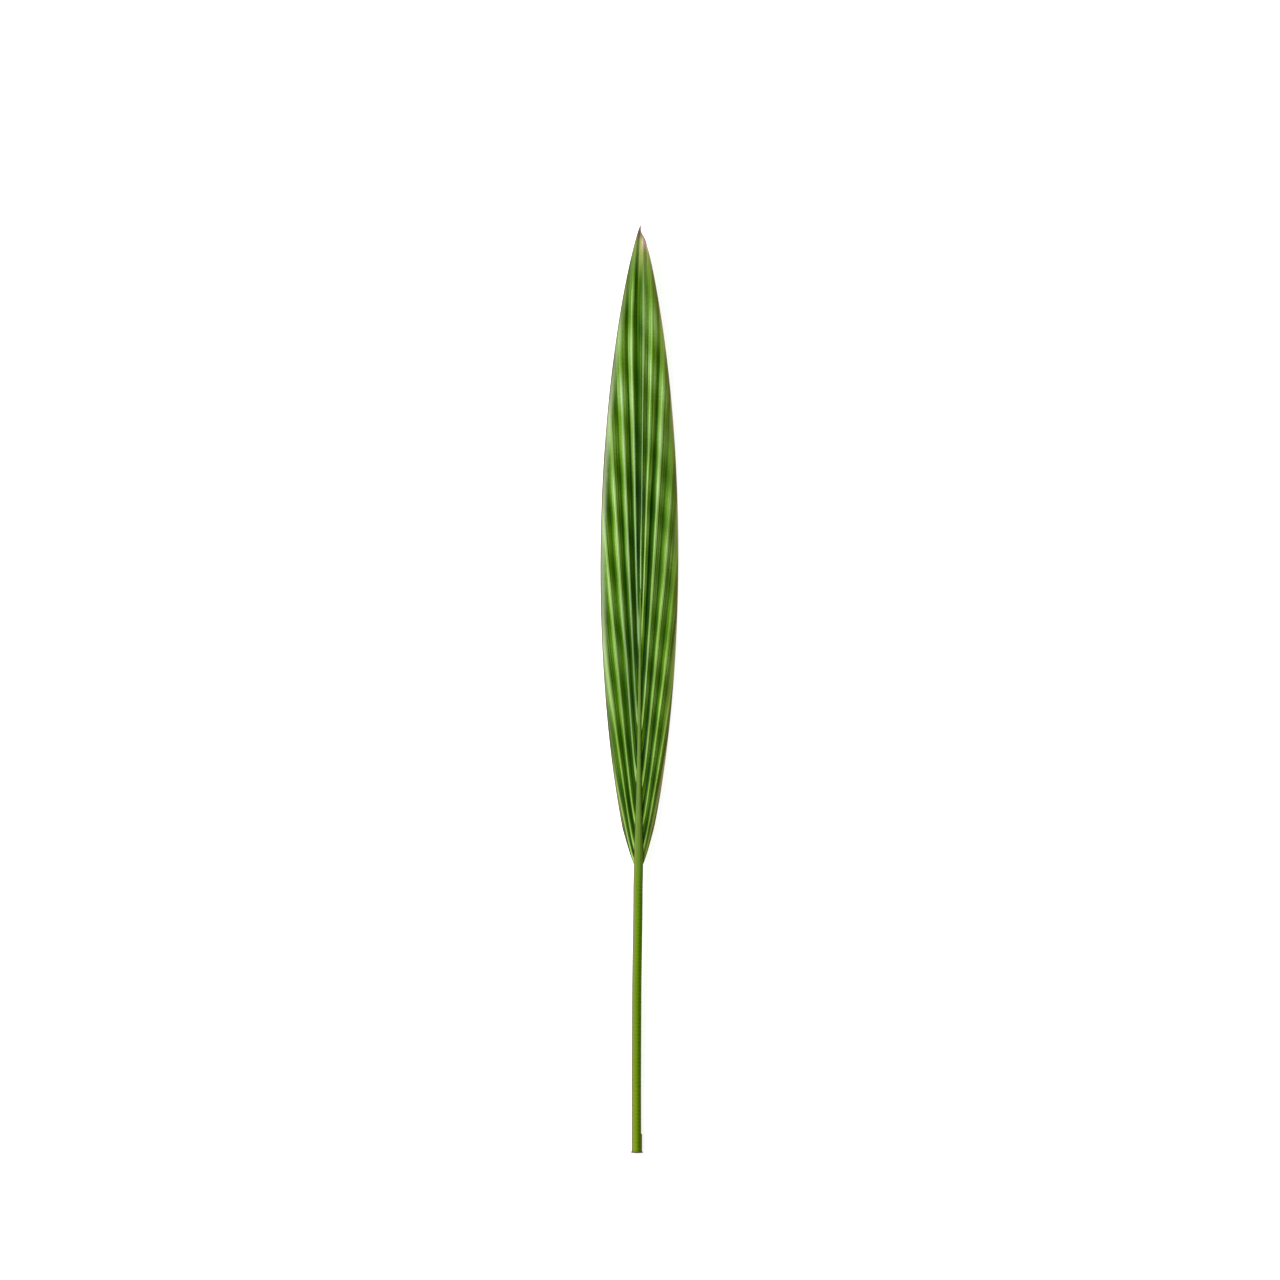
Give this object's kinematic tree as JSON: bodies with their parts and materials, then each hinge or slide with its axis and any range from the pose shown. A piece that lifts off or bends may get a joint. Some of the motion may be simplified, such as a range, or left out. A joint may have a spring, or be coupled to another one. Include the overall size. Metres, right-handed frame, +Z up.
{
  "type": "palm leaf spear",
  "caption": "Green palm leaf trimmed to a long pointed spear, with a pleated blade that fans out from a tapering rib, on a thin cut stalk, lying flat.",
  "frame": {"origin": "centre of the leaf's outline seen from above, on the surface that it lies on", "axes": "+Y along the leaf from the cut end of the stalk to the point, +X across the blade to its right side seen from above, +Z up, out of the leaf's upper face"},
  "size_m": [0.0428, 0.509, 0.0096],
  "materials": {
    "leaf_blade": "satin",
    "leaf_stalk": "satin"
  },
  "bodies": {
    "root": {"blade": "leaf_blade", "petiole": "leaf_stalk"}
  },
  "joints": []
}
